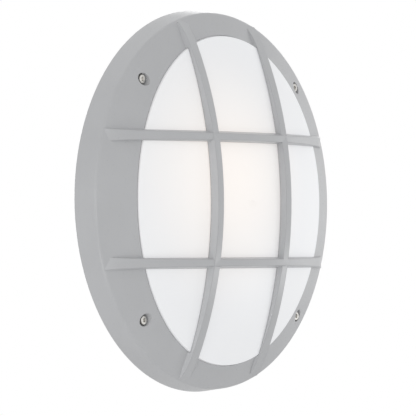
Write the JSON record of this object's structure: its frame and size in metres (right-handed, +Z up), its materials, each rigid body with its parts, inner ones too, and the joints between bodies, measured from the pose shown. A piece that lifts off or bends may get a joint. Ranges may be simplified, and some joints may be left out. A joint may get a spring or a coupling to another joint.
{
  "type": "bulkhead light",
  "caption": "Round wall-mounted bulkhead light: die-cast grey cover with a domed bar grille over an opal diffuser, fixed by cap screws to a base with a lampholder.",
  "frame": {"origin": "centre of the base's back face, on the wall plane, at the middle of the wall-fixing holes", "axes": "+Y into the wall, so the light faces -Y; +Z up; +X to the right seen from the front"},
  "size_m": [0.3, 0.0601, 0.3],
  "materials": {
    "cast_metal": "satin silver-grey powder coat on a die-casting",
    "base_metal": "satin silver-grey coat on a die-casting",
    "opal": "smooth opal white, lit from behind",
    "pale_rubber": "matt pale silicone",
    "black_rubber": "matt black rubber",
    "steel": "plated steel",
    "white_sheet": "gloss white sheet steel",
    "porcelain": "white glaze",
    "brass": "plain brass",
    "lamp_metal": "rolled aluminium",
    "frosted_glass": "frosted warm white",
    "white_plastic": "matt white moulding",
    "green_lead": "green insulation",
    "brown_lead": "brown insulation",
    "blue_lead": "blue insulation"
  },
  "bodies": {
    "root": {"base": "base_metal", "bezel": "cast_metal", "diffuser": "opal", "lens_gasket": "pale_rubber", "cover_gasket": "black_rubber", "wall_gasket": "black_rubber", "cable_grommet": "black_rubber", "entry_plug": "black_rubber", "cover_screws": "steel", "screw_washers": "steel", "reflector": "white_sheet", "reflector_screws": "steel", "holder_bracket": "steel", "bracket_screws": "steel", "holder_body": "porcelain", "holder_shell": "brass", "holder_contact": "brass", "holder_screws": "steel", "lamp_cap": "lamp_metal", "lamp_bulb": "frosted_glass", "terminal_block": "white_plastic", "terminal_inserts": "brass", "terminal_screws": "steel", "block_screw": "steel", "earth_screw": "brass", "earth_washer": "steel", "earth_lug": "steel", "earth_lead": "green_lead", "live_lead": "brown_lead", "neutral_lead": "blue_lead"}
  },
  "joints": []
}
